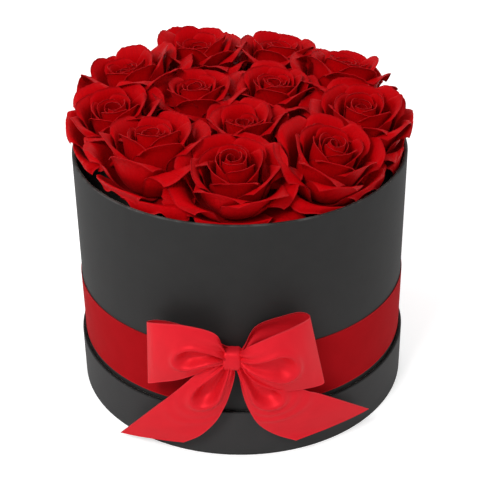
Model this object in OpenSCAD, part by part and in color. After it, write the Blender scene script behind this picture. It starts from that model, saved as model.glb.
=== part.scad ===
// Round hat box of roses, standing in its own upturned lid and tied with a satin bow.
// Millimetres. The origin is the centre of the lid's underside, +Z is up and the bow
// faces -Y.

/* [Box] */
// Outside diameter of the covered box
box_d = 200; // [170:1:240]
// Height of the box from its underside to its rim
box_h = 153.5; // [130:0.5:200]
// Thickness of the board strip that the round walls are made of
wall_board = 1.5; // [1:0.1:2.5]
// Thickness of the flat board discs in the base and the lid
panel_board = 2; // [1.5:0.1:3]
// Thickness of the covering paper
paper_t = 0.3; // [0.2:0.05:0.5]
// Width of the paper margin that is turned over an edge
turn_in = 12; // [8:1:20]

/* [Lid] */
// Height of the lid from its flat panel to its open edge
lid_h = 32; // [24:1:40]
// Gap between the box and the lid's turned-in paper, all round
lid_gap = 0.5; // [0.4:0.1:1.5]

/* [Foam] */
// Depth of the foam's flat top below the rim of the box
foam_drop = 30; // [22:1:40]
// Gap between the foam and the lining of the box, all round
foam_gap = 0.4; // [0.2:0.1:2]

/* [Roses] */
// Smallest gap between the heads of two neighbouring outer roses
head_gap = 2.4; // [1:0.1:5]
// Smallest gap between the heads of two inner roses
inner_gap = 0.5; // [0.3:0.1:1]
// Distance by which the widest part of an outer head leans out past the lining
rim_overhang = 1; // [-4:0.5:2]
// Height of a rose head from its calyx to its heart
head_h = 48; // [38:1:56]
// Height of the widest part of a head above its calyx
head_shoulder = 22; // [16:1:26]
// Width of the flat heart on top of a head
heart_d = 14; // [8:1:20]
// Angle at which the outer roses lean outwards
outer_lean = 17; // [12:1:18]
// Angle at which the inner roses lean outwards
inner_lean = 3; // [0:1:4]

/* [Stems and picks] */
// Width of the cut stem under a rose
stem_d = 6; // [4:0.5:8]
// Length of stem that shows between the foam and the calyx
stem_h = 20; // [14:1:26]
// Length of stem that is pushed into the foam
stem_in = 12; // [8:1:20]
// Width of the calyx where the petals sit on it
calyx_d = 15; // [11:1:18]
// Height of the calyx
calyx_h = 6; // [4:0.5:9]
// Width of the wooden pick in a stem
pick_d = 2.4; // [1.8:0.1:3]
// Length of the pick below the stem's cut end
pick_out = 46; // [30:1:60]
// Length of the pick inside the stem
pick_in = 10; // [6:1:14]
// Length of the pick's sharpened end
pick_tip = 6; // [3:1:10]
// Gap round a pick or a stem in the hole it makes
pierce_gap = 0.1; // [0.05:0.05:0.3]

/* [Ribbon] */
// Width of the satin ribbon
ribbon_w = 40; // [32:1:45]
// Thickness given to the ribbon in this plain model
ribbon_t = 0.5; // [0.4:0.1:1]
// Height of the band's lower edge above the lid's open edge
band_lift = 2.8; // [1:0.1:10]
// Half-width of the front stretch in which the band gathers towards the knot
gather_x = 40; // [25:1:55]

/* [Bow] */
// Height of the knot's centre above the band's middle
knot_lift = 19; // [8:1:20]
// Width of the knot from side to side
knot_w = 12; // [9:0.5:16]
// Height of the knot
knot_h = 16; // [12:1:20]
// Length of a loop from the knot to its fold
loop_len = 45; // [36:1:52]
// Depth of a loop where it stands open
loop_depth = 20; // [12:1:20]
// Angle at which the loops lie back towards the box
loop_back = 6; // [3:1:8]
// Height by which a loop's fold rises above the knot
loop_rise = 5; // [0:1:8]
// Distance from the knot to the tip of the left tail
tail_left_len = 92; // [70:1:94]
// Angle of the left tail below the horizontal
tail_left_slope = 51; // [44:1:54]
// Distance from the knot to the tip of the right tail
tail_right_len = 94; // [70:1:96]
// Angle of the right tail below the horizontal
tail_right_slope = 44; // [38:1:50]
// Length by which the slanted cut runs back from a tail's tip
tail_cut = 32; // [15:1:38]
// Gap between the lid and the tails that hang in front of it
tail_gap = 5; // [1:0.5:6]
// Height of the tails' lowest point above the table
tail_floor = 2; // [0.5:0.5:8]

/* [Hidden] */
$fn = 96;
OUTER_ANGLES = [151, 112, 74, 35, -7, -48, -90, -131, -170];
INNER_ANGLES = [160, 45, -80];
OUTER_COUNT = len(OUTER_ANGLES);
ROSE_COUNT = OUTER_COUNT + len(INNER_ANGLES);
ROSES = [for (i = [0 : ROSE_COUNT - 1]) i];
quarter = 90;
turn = 360;
// Points of a loop seen from above, and of each of the two curves of a head's side
steps = 32;
head_steps = 6;
// Distance by which a cutting shape reaches past what it cuts
cut_over = 1;

// Radii, from the outside of the box inwards
box_r = box_d / 2;
wall_out_r = box_r - paper_t;
wall_in_r = wall_out_r - wall_board;
lining_in_r = wall_in_r - paper_t;
foam_r = lining_in_r - foam_gap;

// Radii of the lid, from the inside outwards
lid_in_r = box_r + lid_gap;
rim_in_r = lid_in_r + paper_t;
rim_out_r = rim_in_r + wall_board;
lid_r = rim_out_r + paper_t;

// Heights: the lid's panel lies on its own paper, and the box stands on the lid's lining
lid_panel_z = paper_t;
lid_lining_z = lid_panel_z + panel_board;
box_z = lid_lining_z + paper_t;
rim_z = box_z + box_h;
box_base_z = box_z + 2 * paper_t;
box_floor_z = box_base_z + panel_board;
foam_z = rim_z - foam_drop;

// The heads of the outer roses fill their ring from neighbour to neighbour, and the three
// inner roses stand side by side in the middle
outer_closest = closest_step(OUTER_ANGLES);
inner_closest = closest_step(INNER_ANGLES);
head_axis_h = stem_h + calyx_h + head_shoulder;
outer_ring_r = (lining_in_r + rim_overhang + head_gap / 2 * cos(outer_lean))
    / (1 + sin(outer_closest / 2) * cos(outer_lean));
head_r = outer_ring_r * sin(outer_closest / 2) - head_gap / 2;
inner_ring_r = (head_r + inner_gap / 2) / sin(inner_closest / 2);
outer_seat_r = outer_ring_r - head_axis_h * sin(outer_lean);
inner_seat_r = inner_ring_r - head_axis_h * sin(inner_lean);

// The ribbon
band_z = lid_h + band_lift;
band_top_z = band_z + ribbon_w;
band_r = box_r + ribbon_t;
bow_z = band_z + ribbon_w / 2 + knot_lift;
knot_r = knot_w / 2;
knot_y = -band_r - knot_r;
loop_low = -ribbon_w / 2 + loop_rise;
loop_high = ribbon_w / 2 + loop_rise;
tail_r = lid_r + tail_gap;
// A tail is cupped, which leaves it this share of the ribbon's flat width
tail_cup = 0.7;
// Distance from the knot at which a tail has opened to that width
tail_spread = 22;
// Gap between the two tails where they leave the knot
tail_mid_gap = 2;
// The knot is a barrel whose ends are this share of its width
knot_end = 0.8;
// Clearance between soft pieces that would otherwise touch on curved faces
soft_gap = 0.4;

black = [0.17, 0.17, 0.17];
board_grey = [0.55, 0.52, 0.47];
foam_green = [0.32, 0.38, 0.25];
rose_red = [0.7, 0.02, 0.06];
leaf_green = [0.24, 0.36, 0.14];
pick_wood = [0.78, 0.62, 0.4];
satin_red = [0.78, 0.08, 0.12];

function two_digits(n) = n < 10 ? str("0", n) : str(n);
function rose_name(i, piece) = str("rose_", two_digits(i + 1), "_", piece);
function step_after(angles, i) =
    let (next = angles[(i + 1) % len(angles)])
        (angles[i] - next + 2 * turn) % turn;
function closest_step(angles) = min([for (i = [0 : len(angles) - 1]) step_after(angles, i)]);
function is_outer(i) = i < OUTER_COUNT;
function rose_angle(i) = is_outer(i) ? OUTER_ANGLES[i] : INNER_ANGLES[i - OUTER_COUNT];
function rose_seat_r(i) = is_outer(i) ? outer_seat_r : inner_seat_r;
function rose_lean(i) = is_outer(i) ? outer_lean : inner_lean;

// A quarter of an ellipse, from the point (x0, y0) outwards and up to (x1, y1)
function bowl_arc(x0, y0, x1, y1) = [
    for (k = [0 : head_steps])
        let (a = quarter * k / head_steps)
            [x0 + (x1 - x0) * sin(a), y1 + (y0 - y1) * cos(a)]
];

// A quarter of an ellipse, from the point (x0, y0) up and inwards to (x1, y1)
function dome_arc(x0, y0, x1, y1) = [
    for (k = [1 : head_steps])
        let (a = quarter * k / head_steps)
            [x1 + (x0 - x1) * cos(a), y0 + (y1 - y0) * sin(a)]
];

// A ribbon loop seen from above: pointed at the knot and round at the fold
function loop_plan(length, depth) = [
    for (k = [0 : steps - 1])
        let (t = turn * k / steps, along = (1 - cos(t)) / 2)
            [length * along, depth / 2 * sin(t) * sqrt(along)]
];

// A tube standing on the height z
module ring(outer, inner, z, height) {
    translate([0, 0, z])
        difference() {
            cylinder(h = height, r = outer);
            translate([0, 0, -cut_over])
                cylinder(h = height + 2 * cut_over, r = inner);
        }
}

// Extrudes an outline drawn in X and Z through the front half of the object
module through_front() {
    rotate([quarter, 0, 0])
        linear_extrude(height = box_d)
            children();
}

// Places its children on a rose's own axis, with Z = 0 at the top of the foam
module on_rose(i) {
    rotate([0, 0, rose_angle(i)])
        translate([rose_seat_r(i), 0, foam_z])
            rotate([0, rose_lean(i), 0])
                children();
}

module lid_panel() {
    color(board_grey)
        translate([0, 0, lid_panel_z])
            cylinder(h = panel_board, r = rim_in_r);
}

module lid_rim() {
    color(board_grey)
        ring(rim_out_r, rim_in_r, lid_panel_z, lid_h - lid_panel_z - paper_t);
}

// Covers the rim, its open edge and a margin inside it
module lid_side_paper() {
    color(black)
        union() {
            ring(lid_r, rim_out_r, lid_panel_z, lid_h - lid_panel_z);
            ring(lid_r, lid_in_r, lid_h - paper_t, paper_t);
            ring(rim_in_r, lid_in_r, lid_h - turn_in, turn_in);
        }
}

module lid_top_paper() {
    color(black)
        cylinder(h = paper_t, r = lid_r);
}

module lid_lining() {
    color(black)
        translate([0, 0, lid_lining_z])
            cylinder(h = paper_t, r = lid_in_r);
}

module box_wall() {
    color(board_grey)
        ring(wall_out_r, wall_in_r, box_base_z, rim_z - paper_t - box_base_z);
}

module box_base() {
    color(board_grey)
        translate([0, 0, box_base_z])
            cylinder(h = panel_board, r = wall_in_r);
}

// Covers the wall, with one margin turned in over the rim and one turned under the base
module box_side_paper() {
    color(black)
        union() {
            ring(box_r, wall_out_r, box_z + paper_t, box_h - paper_t);
            ring(box_r, lining_in_r, rim_z - paper_t, paper_t);
            ring(wall_in_r, lining_in_r, rim_z - turn_in, turn_in);
            ring(box_r, box_r - turn_in, box_z + paper_t, paper_t);
        }
}

module box_bottom_paper() {
    color(black)
        translate([0, 0, box_z])
            cylinder(h = paper_t, r = box_r - paper_t);
}

// Lines the wall from the base up to the turned-in margin
module box_lining() {
    color(black)
        ring(wall_in_r, lining_in_r, box_floor_z, rim_z - turn_in - box_floor_z);
}

// The hole that one stem and its pick make in the foam
module rose_hole(i) {
    on_rose(i)
        union() {
            translate([0, 0, -stem_in])
                cylinder(h = foam_drop + stem_in, r = stem_d / 2 + pierce_gap);
            translate([0, 0, -stem_in - pick_out - pierce_gap])
                cylinder(h = pick_out + stem_in, r = pick_d / 2 + pierce_gap);
        }
}

module foam() {
    color(foam_green)
        difference() {
            translate([0, 0, box_floor_z])
                cylinder(h = foam_z - box_floor_z, r = foam_r);
            for (i = ROSES)
                rose_hole(i);
        }
}

module rose_head(i) {
    color(rose_red)
        on_rose(i)
            translate([0, 0, stem_h + calyx_h])
                rotate_extrude()
                    polygon(concat(
                        [[0, 0]],
                        bowl_arc(calyx_d / 2, 0, head_r, head_shoulder),
                        dome_arc(head_r, head_shoulder, heart_d / 2, head_h),
                        [[0, head_h]]
                    ));
}

// The cut stem and the green cup that holds the petals, drilled for the pick
module rose_calyx(i) {
    color(leaf_green)
        on_rose(i)
            difference() {
                rotate_extrude()
                    polygon([
                        [0, -stem_in],
                        [stem_d / 2, -stem_in],
                        [stem_d / 2, stem_h],
                        [calyx_d / 2, stem_h + calyx_h],
                        [0, stem_h + calyx_h]
                    ]);
                translate([0, 0, -stem_in - cut_over])
                    cylinder(h = pick_in + cut_over, r = pick_d / 2 + pierce_gap);
            }
}

module rose_pick(i) {
    low = -stem_in - pick_out;
    color(pick_wood)
        on_rose(i)
            union() {
                translate([0, 0, low + pick_tip])
                    cylinder(h = pick_out + pick_in - pick_tip, d = pick_d);
                translate([0, 0, low])
                    cylinder(h = pick_tip, d1 = pick_d / 3, d2 = pick_d);
            }
}

// The front of the band, from its full width down to the knot's height
module band_front_outline() {
    polygon([
        [-gather_x, band_z],
        [-knot_r, bow_z - knot_h / 2],
        [knot_r, bow_z - knot_h / 2],
        [gather_x, band_z],
        [gather_x, band_top_z],
        [knot_r, bow_z + knot_h / 2],
        [-knot_r, bow_z + knot_h / 2],
        [-gather_x, band_top_z]
    ]);
}

// The tall stretch in front of which the band is cut to its gathered outline
module band_front_blank() {
    translate([-gather_x, band_z - cut_over])
        square([2 * gather_x, ribbon_w + knot_lift + knot_h]);
}

module ribbon_band() {
    color(satin_red)
        union() {
            difference() {
                ring(band_r, box_r, band_z, ribbon_w);
                through_front()
                    band_front_blank();
            }
            intersection() {
                ring(band_r, box_r, band_z, ribbon_w + knot_lift);
                through_front()
                    band_front_outline();
            }
        }
}

module bow_knot() {
    color(satin_red)
        translate([0, knot_y, bow_z - knot_h / 2])
            rotate_extrude()
                polygon(concat(
                    [[0, 0]],
                    bowl_arc(knot_r * knot_end, 0, knot_r, knot_h / 2),
                    dome_arc(knot_r, knot_h / 2, knot_r * knot_end, knot_h),
                    [[0, knot_h]]
                ));
}

// A loop's outline from the front, which opens from the knot to the ribbon's full width
module loop_outline(grow) {
    polygon([
        [0, -knot_h / 2 - grow],
        [loop_len + 2 * knot_r, loop_low - grow],
        [loop_len + 2 * knot_r, loop_high + grow],
        [0, knot_h / 2 + grow]
    ]);
}

// side is 1 for the right loop and -1 for the left one
module bow_loop(side) {
    color(satin_red)
        mirror([side < 0 ? 1 : 0, 0, 0])
            intersection() {
                translate([knot_r + soft_gap, knot_y, 0])
                    rotate([0, 0, loop_back])
                        linear_extrude(height = bow_z + ribbon_w)
                            difference() {
                                loop_plan_area(loop_len, loop_depth);
                                translate([ribbon_t, 0])
                                    loop_plan_area(loop_len - 2 * ribbon_t, loop_depth - 2 * ribbon_t);
                            }
                translate([0, 0, bow_z])
                    through_front()
                        loop_outline(0);
            }
}

module loop_plan_area(length, depth) {
    polygon(loop_plan(length, depth));
}

// A tail as it is seen from the front, cut on the slant and kept below the loop
module tail_outline(reach, slope) {
    half = ribbon_w * tail_cup / 2;
    difference() {
        rotate(-slope)
            polygon([
                [0, -knot_h / 4],
                [tail_spread, -half],
                [reach - tail_cut, -half],
                [reach, half],
                [tail_spread, half],
                [0, knot_h / 4]
            ]);
        loop_outline(soft_gap);
        translate([-reach, -reach])
            square([reach + tail_mid_gap / 2, 2 * reach]);
    }
}

module bow_tail(side, reach, slope) {
    color(satin_red)
        mirror([side < 0 ? 1 : 0, 0, 0])
            intersection() {
                ring(tail_r + ribbon_t, tail_r, tail_floor, bow_z - knot_h / 2 - tail_floor - soft_gap);
                translate([0, 0, bow_z])
                    through_front()
                        tail_outline(reach, slope);
            }
}

lid_panel();
lid_rim();
lid_side_paper();
lid_top_paper();
lid_lining();
box_wall();
box_base();
box_side_paper();
box_bottom_paper();
box_lining();
foam();
for (i = ROSES) {
    rose_head(i);
    rose_calyx(i);
    rose_pick(i);
}
ribbon_band();
bow_knot();
bow_loop(-1);  // bow_loop_left
bow_loop(1);  // bow_loop_right
bow_tail(-1, tail_left_len, tail_left_slope);  // bow_tail_left
bow_tail(1, tail_right_len, tail_right_slope);  // bow_tail_right
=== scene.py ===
"""Looks of a round box of red roses, tied with a satin bow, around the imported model.

Shapes are worked out in millimetres in the object's own frame and turned into metres when
a mesh is made. +Z is up, the bow faces -Y and the origin is the middle of the underside.
"""

from __future__ import annotations

import logging
import math
from dataclasses import dataclass, field
from enum import Enum
from typing import Callable, Sequence

import bpy
import numpy as np
from mathutils import Matrix, Vector


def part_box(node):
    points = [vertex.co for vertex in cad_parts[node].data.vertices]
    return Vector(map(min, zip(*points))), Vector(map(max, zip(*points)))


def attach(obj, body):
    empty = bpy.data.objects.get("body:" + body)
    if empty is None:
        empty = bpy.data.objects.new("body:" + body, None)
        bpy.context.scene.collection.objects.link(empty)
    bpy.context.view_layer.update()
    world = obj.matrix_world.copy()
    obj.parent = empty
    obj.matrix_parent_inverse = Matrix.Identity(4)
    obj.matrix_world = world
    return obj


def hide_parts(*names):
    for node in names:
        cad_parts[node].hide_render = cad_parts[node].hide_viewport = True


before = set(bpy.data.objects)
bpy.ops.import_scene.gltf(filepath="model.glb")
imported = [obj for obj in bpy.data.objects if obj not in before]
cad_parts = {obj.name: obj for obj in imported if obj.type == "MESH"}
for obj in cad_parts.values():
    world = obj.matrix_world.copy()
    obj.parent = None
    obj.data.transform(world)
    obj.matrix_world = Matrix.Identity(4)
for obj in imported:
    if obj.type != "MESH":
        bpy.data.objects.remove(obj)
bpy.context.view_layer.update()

LOG = logging.getLogger("flower_box")
MM = 0.001
TURN = 2.0 * math.pi
TINY = 1e-12
CLOTH_MAP = "cloth"
PETAL_MAP = "petal"
WHITE = (1.0, 1.0, 1.0)

Colour = tuple[float, float, float]
Point = tuple[float, float, float]
Rows = tuple[tuple[float, ...], ...]
Waves = tuple[int, float, float]
Sockets = dict[str, bpy.types.NodeSocket]


class Body(Enum):
    """The two rigid bodies that the joint moves apart."""

    LID = "lid"
    BOX = "box"


class Held(Enum):
    """How a loop or a tail of ribbon is held."""

    FOLDED = "folded"
    HUNG = "hung"


class GrainMask(Enum):
    """The two masks of the fibre grain."""

    FIBRE = "Fibre"
    CLOUD = "Cloud"


# Small numeric helpers


def smoothstep(low: float, high: float, value: np.ndarray) -> np.ndarray:
    """Eases from 0 below low to 1 above high.

    Args:
        low: Value at which the step begins.
        high: Value at which the step ends.
        value: Where it is wanted.

    Returns:
        The eased values, between 0 and 1.
    """
    t = np.clip((np.asarray(value, float) - low) / (high - low), 0.0, 1.0)
    return t * t * (3.0 - 2.0 * t)


def through(knots: np.ndarray, at: np.ndarray) -> np.ndarray:
    """Runs a Catmull-Rom curve through a few knots.

    Args:
        knots: The points or values to pass through, evenly spaced from 0 to 1.
        at: Where the curve is wanted, from 0 to 1.

    Returns:
        One point or value of the curve for each entry of at.
    """
    knots = np.asarray(knots, float)
    flat = knots.reshape(len(knots), -1)
    padded = np.vstack([2 * flat[0] - flat[1], flat, 2 * flat[-1] - flat[-2]])
    place = np.clip(np.asarray(at, float), 0.0, 1.0) * (len(flat) - 1)
    first = np.minimum(place.astype(int), len(flat) - 2)
    t = (place - first)[:, None]
    a, b, c, d = (padded[first + k] for k in range(4))
    curve = 0.5 * (
        2 * b
        + (c - a) * t
        + (2 * a - 5 * b + 4 * c - d) * t**2
        + (3 * b - a - 3 * c + d) * t**3
    )
    return curve.reshape((len(place),) + knots.shape[1:])


def unit(vectors: np.ndarray) -> np.ndarray:
    """Scales each vector to length 1."""
    return vectors / np.maximum(np.linalg.norm(vectors, axis=-1, keepdims=True), TINY)


def grid_normals(points: np.ndarray) -> np.ndarray:
    """Finds the normal at each point of a grid of points.

    Args:
        points: A grid of shape (along, across, 3).

    Returns:
        Unit normals of the same shape, by the right-hand rule of along and across.
    """
    return unit(np.cross(np.gradient(points, axis=0), np.gradient(points, axis=1)))


# Meshes


@dataclass
class ThinShells:
    """Collects thin closed shells and turns them into one mesh object."""

    map_name: str
    points: list[np.ndarray] = field(default_factory=list)
    faces: list[np.ndarray] = field(default_factory=list)
    places: list[np.ndarray] = field(default_factory=list)
    count: int = 0

    def add(self, sheet: np.ndarray, place: np.ndarray, thickness: float) -> None:
        """Adds a sheet with both its sides and its cut edges.

        Args:
            sheet: A grid of points of shape (along, across, 3), in millimetres.
            place: The surface coordinates of each point, of shape (along, across, 2).
            thickness: Thickness of the sheet in millimetres.
        """
        rows, cols = sheet.shape[:2]
        lift = grid_normals(sheet) * thickness / 2
        both = np.concatenate([(sheet + lift).reshape(-1, 3), (sheet - lift).reshape(-1, 3)])
        index = np.arange(rows * cols).reshape(rows, cols)
        a, b = index[:-1, :-1].ravel(), index[1:, :-1].ravel()
        c, d = index[1:, 1:].ravel(), index[:-1, 1:].ravel()
        top = np.stack([a, b, c, d], axis=1)
        under = np.stack([d, c, b, a], axis=1) + rows * cols
        edge = np.concatenate(
            [index[:, 0][::-1], index[0, 1:], index[1:, -1], index[-1, :-1][::-1]]
        )
        after = np.roll(edge, -1)
        side = np.stack([edge, edge + rows * cols, after + rows * cols, after], axis=1)
        side = side[edge != after]
        self.points.append(both)
        self.faces.append(np.concatenate([top, under, side]) + self.count)
        self.places.append(np.concatenate([place.reshape(-1, 2)] * 2))
        self.count += len(both)

    def build(self, name: str, material: bpy.types.Material) -> bpy.types.Object:
        """Makes the object.

        Args:
            name: Name of the piece.
            material: Its material.

        Returns:
            The new object, with smooth faces and a map of the surface coordinates.
        """
        points = np.concatenate(self.points) * MM
        faces = np.concatenate(self.faces)
        places = np.concatenate(self.places)
        return make_object(name, points, faces, material, {self.map_name: places})


def make_object(
    name: str,
    points: np.ndarray,
    faces: Sequence[Sequence[int]] | np.ndarray,
    material: bpy.types.Material,
    maps: dict[str, np.ndarray] | None = None,
) -> bpy.types.Object:
    """Makes a smooth mesh object and links it to the scene.

    Args:
        name: Name of the piece.
        points: Its points, in metres.
        faces: The point numbers of each face.
        material: Its material.
        maps: Surface coordinates of each point, for each map's name.

    Returns:
        The new object.
    """
    mesh = bpy.data.meshes.new(name)
    face_list = faces.tolist() if isinstance(faces, np.ndarray) else faces
    mesh.from_pydata(points.tolist(), [], face_list)
    mesh.update()
    corners = np.empty(len(mesh.loops), np.int32)
    mesh.loops.foreach_get("vertex_index", corners)
    for map_name, places in (maps or {}).items():
        layer = mesh.uv_layers.new(name=map_name)
        layer.uv.foreach_set("vector", places[corners].astype(np.float32).ravel())
    mesh.shade_smooth()
    mesh.materials.append(material)
    made = bpy.data.objects.new(name, mesh)
    bpy.context.collection.objects.link(made)
    return made


def report(piece: bpy.types.Object) -> bpy.types.Object:
    """Logs a finished piece and hands it back."""
    LOG.info("%s: %d faces", piece.name, len(piece.data.polygons))
    return piece


def dress(node_names: Sequence[str], material: bpy.types.Material) -> None:
    """Gives CAD nodes a material.

    Args:
        node_names: Names of the nodes.
        material: Their new material.
    """
    for name in node_names:
        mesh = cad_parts[name].data
        mesh.materials.clear()
        mesh.materials.append(material)
        LOG.info("%s: dressed in %s", name, material.name)


# Shader node groups that several finishes share


@dataclass
class Nodes:
    """Adds and links the nodes of one material or group."""

    tree: bpy.types.NodeTree

    def set(self, node: bpy.types.Node, **values: object) -> bpy.types.Node:
        """Sets a node's sockets and settings.

        Args:
            node: The node.
            **values: Values of its sockets by name, with _ for a space, of sockets by
                number as in_0, or of its own settings in lower case. A socket as a value
                is linked.

        Returns:
            The same node.
        """
        for name, value in values.items():
            if hasattr(node, name):
                setattr(node, name, value)
                continue
            key = int(name[3:]) if name.startswith("in_") else name.replace("_", " ")
            if isinstance(value, bpy.types.NodeSocket):
                self.tree.links.new(value, node.inputs[key])
            else:
                node.inputs[key].default_value = value
        return node

    def add(self, kind: str, **values: object) -> bpy.types.Node:
        """Adds a node, whose kind is named without its ShaderNode prefix, and sets it."""
        return self.set(self.tree.nodes.new("ShaderNode" + kind), **values)

    def math(self, operation: str, *values: object) -> bpy.types.NodeSocket:
        """Adds a Math node and returns its result."""
        settings = {f"in_{k}": value for k, value in enumerate(values)}
        return self.add("Math", operation=operation, **settings).outputs[0]

    def mix(self, factor: object, low: object, high: object) -> bpy.types.NodeSocket:
        """Mixes two colours, each given as a socket or with its alpha."""
        node = self.add("Mix", data_type="RGBA", in_0=factor, in_6=low, in_7=high)
        return node.outputs[2]

    def ramp(self, value: object, low: float, high: float) -> bpy.types.NodeSocket:
        """Maps a value from between low and high to between 0 and 1, with eased ends."""
        node = self.add(
            "MapRange", interpolation_type="SMOOTHSTEP", Value=value, From_Min=low, From_Max=high
        )
        return node.outputs["Result"]

    def noise(
        self, vector: bpy.types.NodeSocket, scale: object, detail: float, roughness: float = 0.5
    ) -> bpy.types.NodeSocket:
        """Adds a Noise Texture and returns its value."""
        node = self.add("TexNoise", Vector=vector, Scale=scale, Detail=detail, Roughness=roughness)
        return node.outputs[0]

    def stretch(self, vector: bpy.types.NodeSocket, scale: Point) -> bpy.types.NodeSocket:
        """Scales coordinates along each axis."""
        return self.add("Mapping", Vector=vector, Scale=scale).outputs[0]


def rgba(colour: Colour) -> tuple[float, float, float, float]:
    """Adds a full alpha to a colour."""
    return (*colour, 1.0)


@dataclass(frozen=True)
class SharedGroup:
    """A shader node group that is built once and placed in several materials."""

    name: str
    inputs: tuple[tuple[str, float], ...]
    outputs: tuple[str, ...]
    fill: Callable[[Nodes, bpy.types.Node], Sockets]

    def tree(self) -> bpy.types.NodeTree:
        """Builds the group's tree the first time.

        Returns:
            The tree, with a Vector and the group's own values as its inputs.
        """
        made = bpy.data.node_groups.get(self.name)
        if made:
            return made
        made = bpy.data.node_groups.new(self.name, "ShaderNodeTree")
        made.interface.new_socket("Vector", in_out="INPUT", socket_type="NodeSocketVector")
        for name, value in self.inputs:
            socket = made.interface.new_socket(name, in_out="INPUT", socket_type="NodeSocketFloat")
            socket.default_value = value
        for name in self.outputs:
            made.interface.new_socket(name, in_out="OUTPUT", socket_type="NodeSocketFloat")
        entry = made.nodes.new("NodeGroupInput")
        leave = made.nodes.new("NodeGroupOutput")
        for name, socket in self.fill(Nodes(made), entry).items():
            made.links.new(socket, leave.inputs[name])
        return made

    def place(self, nodes: Nodes, **values: object) -> bpy.types.Node:
        """Places the group in a material, with values or sockets for its inputs."""
        return nodes.add("Group", node_tree=self.tree(), **values)


def fill_fibre_grain(nodes: Nodes, entry: bpy.types.Node) -> Sockets:
    """Builds the fine fibres and soft clouds of paper, board, foam and wood.

    Args:
        nodes: The group's nodes.
        entry: Its input node.

    Returns:
        The group's outputs by name.
    """
    vector, scale = entry.outputs["Vector"], entry.outputs["Scale"]
    fine = nodes.noise(vector, scale, detail=4.0, roughness=0.62)
    cloud_to_fibre = 0.07
    broad = nodes.noise(vector, nodes.math("MULTIPLY", scale, cloud_to_fibre), detail=2.0)
    return {"Fibre": fine, "Cloud": broad}


def fill_edge_wear_and_shade(nodes: Nodes, entry: bpy.types.Node) -> Sockets:
    """Builds a patchy mask along an edge at one height, for rubbed wear and for a painted shadow
    line.

    Args:
        nodes: The group's nodes.
        entry: Its input node.

    Returns:
        The group's outputs by name.
    """
    vector = entry.outputs["Vector"]
    split = nodes.add("SeparateXYZ", Vector=vector)
    above = nodes.math("SUBTRACT", split.outputs["Z"], entry.outputs["Height"])
    away = nodes.math("DIVIDE", nodes.math("ABSOLUTE", above), entry.outputs["Width"])
    near = nodes.math("SUBTRACT", 1.0, nodes.ramp(away, low=0.1, high=1.0))
    # The patches are rubbed wear on the box and the board, and a painted shadow line on the lid.
    patches = nodes.noise(vector, scale=90.0, detail=3.0)
    patches = nodes.math("ADD", patches, entry.outputs["Evenness"])
    wear_and_shade = nodes.ramp(patches, low=0.38, high=0.66)
    return {"Mask": nodes.math("MULTIPLY", near, wear_and_shade)}


def fill_satin_weave(nodes: Nodes, entry: bpy.types.Node) -> Sockets:
    """Builds the long floats, the crossing threads and the slubs of satin.

    Args:
        nodes: The group's nodes.
        entry: Its input node.

    Returns:
        The group's outputs by name.
    """
    vector = entry.outputs["Vector"]
    warp = nodes.noise(nodes.stretch(vector, (4.2, 0.25, 1.0)), scale=1.0, detail=2.0)
    weft = nodes.noise(nodes.stretch(vector, (0.35, 5.0, 1.0)), scale=1.0, detail=1.0)
    warp_share, weft_share = 0.65, 0.35
    threads = nodes.math(
        "ADD",
        nodes.math("MULTIPLY", warp, warp_share),
        nodes.math("MULTIPLY", weft, weft_share),
    )
    slub = nodes.noise(vector, scale=0.09, detail=2.0)
    split = nodes.add("SeparateXYZ", Vector=vector)
    across = nodes.math("ABSOLUTE", split.outputs["X"])
    inside = nodes.math("SUBTRACT", entry.outputs["Half width"], across)
    selvedge = nodes.math("SUBTRACT", 1.0, nodes.ramp(inside, low=0.25, high=1.1))
    return {"Threads": threads, "Slub": slub, "Selvedge": selvedge}


def fill_veins(nodes: Nodes, entry: bpy.types.Node) -> Sockets:
    """Builds the veins of a petal, which fan out from its foot, and its rim.

    Args:
        nodes: The group's nodes.
        entry: Its input node.

    Returns:
        The group's outputs by name.
    """
    vector = entry.outputs["Vector"]
    split = nodes.add("SeparateXYZ", Vector=vector)
    across = nodes.math("SUBTRACT", nodes.math("FRACT", split.outputs["X"]), 0.5)
    along = split.outputs["Y"]
    fan = nodes.stretch(vector, (26.0, 1.6, 1.0))
    lines = nodes.noise(fan, entry.outputs["Density"], detail=3.0)
    blotch = nodes.noise(vector, scale=3.1, detail=3.0)
    side = nodes.math("MULTIPLY", nodes.math("ABSOLUTE", across), 2.0)
    # The rim mask carries a painted highlight.
    side_rim, lip_rim = nodes.ramp(side, 0.9, 0.975), nodes.ramp(along, 0.95, 0.99)
    rim = nodes.math("MAXIMUM", side_rim, lip_rim)
    # The depth mask, 1 towards the foot, carries painted shade deep in the flower.
    depth = nodes.math("SUBTRACT", 1.0, nodes.ramp(along, low=0.15, high=0.85))
    return {"Lines": lines, "Blotch": blotch, "Rim": rim, "Depth": depth}


FIBRE_GRAIN = SharedGroup("fibre_grain", (("Scale", 800.0),), ("Fibre", "Cloud"), fill_fibre_grain)
EDGE_WEAR_AND_SHADE = SharedGroup(
    "edge_wear_and_shade", (("Height", 0.0), ("Width", 0.001), ("Evenness", 0.0)), ("Mask",), fill_edge_wear_and_shade
)
SATIN_WEAVE = SharedGroup(
    "satin_weave", (("Half width", 20.0),), ("Threads", "Slub", "Selvedge"), fill_satin_weave
)
VEINS = SharedGroup("veins", (("Density", 1.0),), ("Lines", "Blotch", "Rim", "Depth"), fill_veins)


# Finishes


def new_material(name: str) -> tuple[bpy.types.Material, Nodes, bpy.types.Node]:
    """Makes an empty material with a Principled shader.

    Args:
        name: Name of the material.

    Returns:
        The material, its nodes and its Principled node.
    """
    material = bpy.data.materials.new(name)
    material.use_nodes = True
    nodes = Nodes(material.node_tree)
    return material, nodes, material.node_tree.nodes["Principled BSDF"]


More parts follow.
